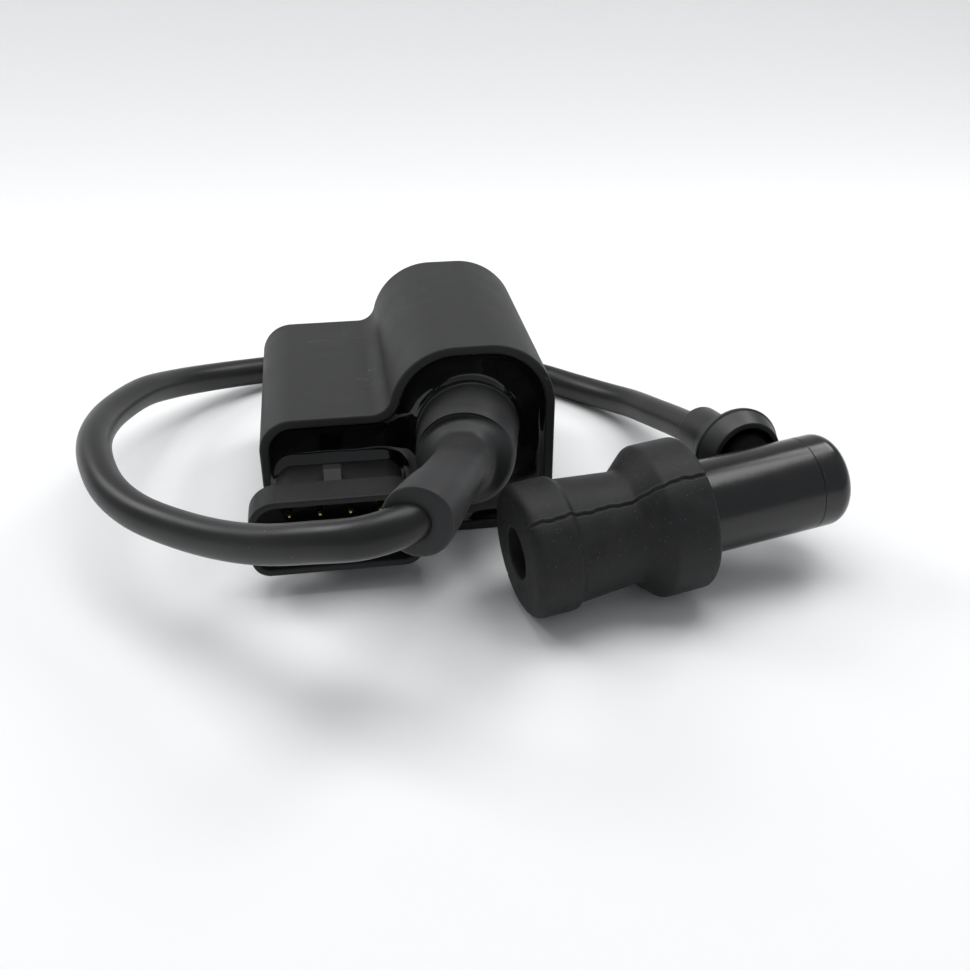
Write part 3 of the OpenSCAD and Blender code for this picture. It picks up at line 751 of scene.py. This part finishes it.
def swelling(at, along, facing, around, height):
    """A smooth bump or dimple: a bell curve along the boot, times a bell curve round it."""
    turn = (boot_angle - facing + 180) % 360 - 180
    return height*np.exp(-((boot_s - at)/along)**2)[:, None]*np.exp(-(turn/around)**2)[None, :]


boot_r = (boot_radii[:, None] + swelling(6.4, 0.5, 190, 34, -0.7) + swelling(6.6, 0.6, 120, 30, 0.5)
          + swelling(7.0, 0.5, 90, 22, -0.4) + swelling(8.0, 1.0, 100, 40, 0.25))
boot_rings = tube(boot_path, boot_r, BOOT_SIDES)
boot_ahead = frames_along(boot_path)[0]
end_share = np.array([[0.25, 1.0], [0.5, 0.985], [0.64, 0.95], [0.7, 0.9], [0.72, 0.8],
                      [0.72, 0.6], [0.7, 0.42], [0.5, 0.36], [-2.5, 0.35]])
boot_tip = boot_path[-1]
end_rings = [boot_tip + along*boot_ahead[-1] + share*(boot_rings[-1] - boot_tip)
             for along, share in end_share]
boot = skin("elbow_boot_skin", np.vstack([boot_rings, np.array(end_rings)]))
FINISH["boot_rubber"] = moulded("boot_rubber", grey(0.020), grey(0.027), 0.45, 0.55,
                                grain_size=0.8, grain_depth=0.015,
                                dust_cover=0.03, dust_spread=0.12, cloud_size=12.0, specular=0.3)
belongs(boot, "root", "boot_rubber", "elbow_boot")

# %% [markdown]
# ## The plug cap
#
# The cap is a hard moulded barrel that lies on the ground, with a closed rounded end, a short side
# branch for the lead and, at its open end, a soft seal that slides on it. Its axis is tilted and
# turned, so three unit vectors are worked out once and every profile is turned about that axis.

# %% Axis of the cap
CAP_START = np.array([16.8, -55.5, 13.12])
YAW, TILT = math.radians(9.5), math.radians(3.8)
CAP_AXIS = np.array([math.cos(TILT)*math.cos(YAW), math.cos(TILT)*math.sin(YAW), math.sin(TILT)])
BRANCH_T, BRANCH_RISE = 54.6, math.radians(5)
level_side = np.array([-math.sin(YAW), math.cos(YAW), 0.0])
drop = np.array([math.sin(TILT)*math.cos(YAW), math.sin(TILT)*math.sin(YAW), -math.cos(TILT)])
BRANCH_AXIS = math.cos(BRANCH_RISE)*level_side - math.sin(BRANCH_RISE)*drop
BRANCH_FOOT = CAP_START + BRANCH_T*CAP_AXIS
print("cap axis", np.round(CAP_AXIS, 3), "branch axis", np.round(BRANCH_AXIS, 3))

# %% Barrel, branch and end plug
BARREL_R, SEAM_T, CAP_L, END_R = 9.25, 60.0, 67.0, 3.4
barrel_profile = rounded([[58.4, 6.5], [SEAM_T, 6.5], [SEAM_T, BARREL_R], [12.0, BARREL_R],
                          [12.0, 6.6], [24.0, 6.6],
                          [24.0, 5.1], [52.0, 5.1], [52.0, 2.4], [BRANCH_T, 2.4]],
                         [0, 0, 0.16, 0.5, 0.3, 0, 0, 0, 0, 0])
barrel = turned("cap_body", barrel_profile, CAP_START, CAP_AXIS, 128)
branch = turned("branch", np.array([[6.6, 5.2], [13.1, 5.2], [13.5, 4.9]]), BRANCH_FOOT, BRANCH_AXIS, 64)
cut_or_join(barrel, branch, "UNION")
branch_bore = turned("branch_bore", np.array([[-3.0, 4.1], [14.5, 4.1]]), BRANCH_FOOT, BRANCH_AXIS, 64)
cut_or_join(barrel, branch_bore, "DIFFERENCE")
weigh_normals(barrel)
end_profile = rounded([[58.4, 6.4], [SEAM_T + 0.03, 6.4], [SEAM_T + 0.03, BARREL_R], [CAP_L, BARREL_R],
                       [CAP_L, 2.0]],
                      [0, 0, 0.16, END_R, 0], steps=10)
end_plug = turned("cap_end", end_profile, CAP_START, CAP_AXIS, 128)
weigh_normals(end_plug)
FINISH["cap_plastic"] = moulded("cap_plastic", grey(0.005), grey(0.007), 0.19, 0.25,
                                grain_size=1.6, grain_depth=0.02,
                                dust_cover=0.03, dust_spread=0.09, cloud_size=9.0)
belongs(barrel, "plug_cap", "cap_plastic", "cap_barrel")
belongs(end_plug, "plug_cap", "cap_plastic", "cap_end_plug")

# %% [markdown]
# ## The seal
#
# The seal is soft rubber, moulded in two halves, so a ragged line of flash runs along it where the
# halves of the mould met. The line is real geometry: a narrow ridge with a groove beside it, which
# needs more points round the seal near the line than elsewhere, so the angles are spaced unevenly.

# %% Seal with its parting line
SEAL_END_R, WAIST_LOW, WAIST_T, CONE_T, RING_R, FACE_T, SEAL_BORE = 12.9, 10.9, 21.5, 26.1, 14.9, 35.0, 9.31
PLUG_HOLE_R, LIP_T = 5.0, 3.0
seal_profile = rounded([[0.0, PLUG_HOLE_R], [0.0, SEAL_END_R], [8.4, SEAL_END_R], [9.3, 12.0],
                        [WAIST_T, WAIST_LOW],
                        [CONE_T, RING_R], [FACE_T, RING_R], [FACE_T, SEAL_BORE], [LIP_T + 1.0, SEAL_BORE],
                        [LIP_T, PLUG_HOLE_R]],
                       [0.3, 2.2, 1.6, 1.2, 1.5, 1.6, 1.0, 0.3, 0.5, 0.3], closed=True)


class PartingLine:
    """Extra radius round the seal, at each of the given angles.

    A ridge wanders along the seal, with a groove beside it.
    """

    def __init__(self, places):
        near = np.concatenate([place + np.radians(np.linspace(-9, 9, 61)) for place in places])
        far = np.linspace(0, 2*np.pi, 120, endpoint=False)
        gaps = [np.abs((far - place + np.pi) % (2*np.pi) - np.pi) for place in places]
        keep = np.all([gap > math.radians(10) for gap in gaps], axis=0)
        self.places = places
        self.angles = np.sort(np.concatenate([near, far[keep]]) % (2*np.pi))

    def __call__(self, profile, angle):
        t, r = profile[:, 0][:, None], profile[:, 1][:, None]
        outer = np.clip((r - 9.6)/0.6, 0, 1)
        out = np.zeros((len(profile), len(angle)))
        for place in self.places:
            wander = 0.012*np.sin(t*0.9) + 0.008*np.sin(t*2.3 + 1.0) + 0.0025*(t - 12)
            off = ((angle[None, :] - place - wander + np.pi) % (2*np.pi) - np.pi)*r
            torn = 0.5 + 0.5*np.sin(t*5.1 + 2*np.sin(t*1.7))
            ridge = 0.22*np.exp(-(off/0.22)**2)*(0.6 + 0.4*torn)
            groove = 0.3*np.exp(-((off + 0.45)/0.25)**2)
            out += outer*(ridge - groove)
        return out


def denser(profile, longest):
    """The same closed profile, with points added until no step is over the given length."""
    out = []
    for here, nxt in zip(profile, np.roll(profile, -1, axis=0)):
        pieces = max(1, int(np.ceil(np.linalg.norm(nxt - here)/longest)))
        out.append(here + (nxt - here)*(np.arange(pieces)/pieces)[:, None])
    return np.vstack(out)


LINE_ANGLE = math.radians(58.0)
seal = turned("plug_seal", denser(seal_profile, 0.4), CAP_START, CAP_AXIS, closed=True,
              swell=PartingLine([LINE_ANGLE, LINE_ANGLE + np.pi]))
FINISH["seal_rubber"] = moulded("seal_rubber", grey(0.010), grey(0.018), 0.48, 0.62,
                                grain_size=0.6, grain_depth=0.03,
                                dust_cover=0.5, dust_size=0.45, dust_spread=0.14, cloud_size=5.0,
                                dust_grey=0.16,
                                specular=0.25)
belongs(seal, "seal", "seal_rubber", "seal_boot")

# %% [markdown]
# ## The bell on the lead's end
#
# A small rubber bell on the lead covers the branch's mouth. It flares from a collar to a ridge, its
# widest place, and in front of the ridge a short cone narrows towards the barrel.

# %% Bell
BELL_PLACE = np.array([68.2, -34.0, 17.6])
BELL_YAW, BELL_DROP = math.radians(10), math.radians(8)
BELL_AXIS = np.array([-math.sin(BELL_YAW)*math.cos(BELL_DROP), math.cos(BELL_YAW)*math.cos(BELL_DROP),
                      -math.sin(BELL_DROP)])
bell_profile = rounded([[-1.8, 6.6], [-1.8, 7.8], [2.0, 9.3], [2.3, 9.7], [3.0, 9.6],
                        [4.2, 8.7], [5.4, 7.5],
                        [6.6, 6.3], [8.6, 5.5], [10.5, 5.3], [18.5, 5.3], [18.5, 3.6], [5.6, 3.6],
                        [3.4, 7.4],
                        [1.2, 7.8]],
                       [0.15, 0.3, 0.2, 0.12, 0.3, 1, 1, 2, 2, 2, 0.6, 0.2, 0.8, 0.5, 0.5], closed=True)
bell = turned("lead_bell", bell_profile, BELL_PLACE, BELL_AXIS, 96, closed=True)
FINISH["grommet_rubber"] = moulded("grommet_rubber", grey(0.014), grey(0.019), 0.36, 0.46, grain_size=0.8,
                                   grain_depth=0.02, dust_cover=0.04, dust_spread=0.12, specular=0.4)
belongs(bell, "root", "grommet_rubber", "lead_grommet")

# %% [markdown]
# ## Finishes of the hidden parts
#
# The coil, the bobbins and the small electronics sit inside the resin. Their CAD shapes are right,
# so each keeps its mesh and gets a finish of its own, for views that open the part up.

# %% Finishes for the parts inside
INSIDE = {
    "brass": ((0.6, 0.42, 0.18, 1.0), (0.75, 0.56, 0.28, 1.0), 0.25, 0.4, 1.0),
    "core_steel": ((0.3, 0.3, 0.31, 1.0), (0.42, 0.42, 0.44, 1.0), 0.35, 0.5, 1.0),
    "bobbin_plastic": ((0.66, 0.63, 0.53, 1.0), (0.74, 0.71, 0.61, 1.0), 0.4, 0.5, 0.0),
    "winding": ((0.4, 0.14, 0.05, 1.0), (0.55, 0.23, 0.09, 1.0), 0.25, 0.35, 0.6),
    "board": ((0.02, 0.12, 0.05, 1.0), (0.03, 0.17, 0.07, 1.0), 0.3, 0.4, 0.0),
    "capacitor_case": ((0.42, 0.05, 0.03, 1.0), (0.5, 0.08, 0.05, 1.0), 0.15, 0.25, 0.0),
    "component_epoxy": (grey(0.02), grey(0.03), 0.45, 0.6, 0.0),
    "resistor_body": ((0.5, 0.4, 0.24, 1.0), (0.6, 0.5, 0.32, 1.0), 0.35, 0.5, 0.0),
    "ceramic": ((0.72, 0.68, 0.6, 1.0), (0.8, 0.77, 0.7, 1.0), 0.2, 0.35, 0.0),
    "spring_steel": ((0.5, 0.5, 0.52, 1.0), (0.62, 0.62, 0.64, 1.0), 0.2, 0.3, 1.0),
}
for slot, (dark, light, smooth, rough, metal) in INSIDE.items():
    FINISH[slot] = moulded(slot, dark, light, smooth, rough, grain_size=0.6, grain_depth=0.01,
                           dust_cover=0.0,
                           cloud_size=4.0, metallic=metal)
slot_of = {row["node"]: row["material_slot"] for row in frame["record"]["subparts"]}
for node, item in frame["nodes"].items():
    if not item.material_slots:
        item.data.materials.append(None)
    for place in item.material_slots:
        place.material = FINISH[slot_of[node]]
print("CAD nodes with a finish:", len(slot_of))

# %% Update the view layer
bpy.context.view_layer.update()
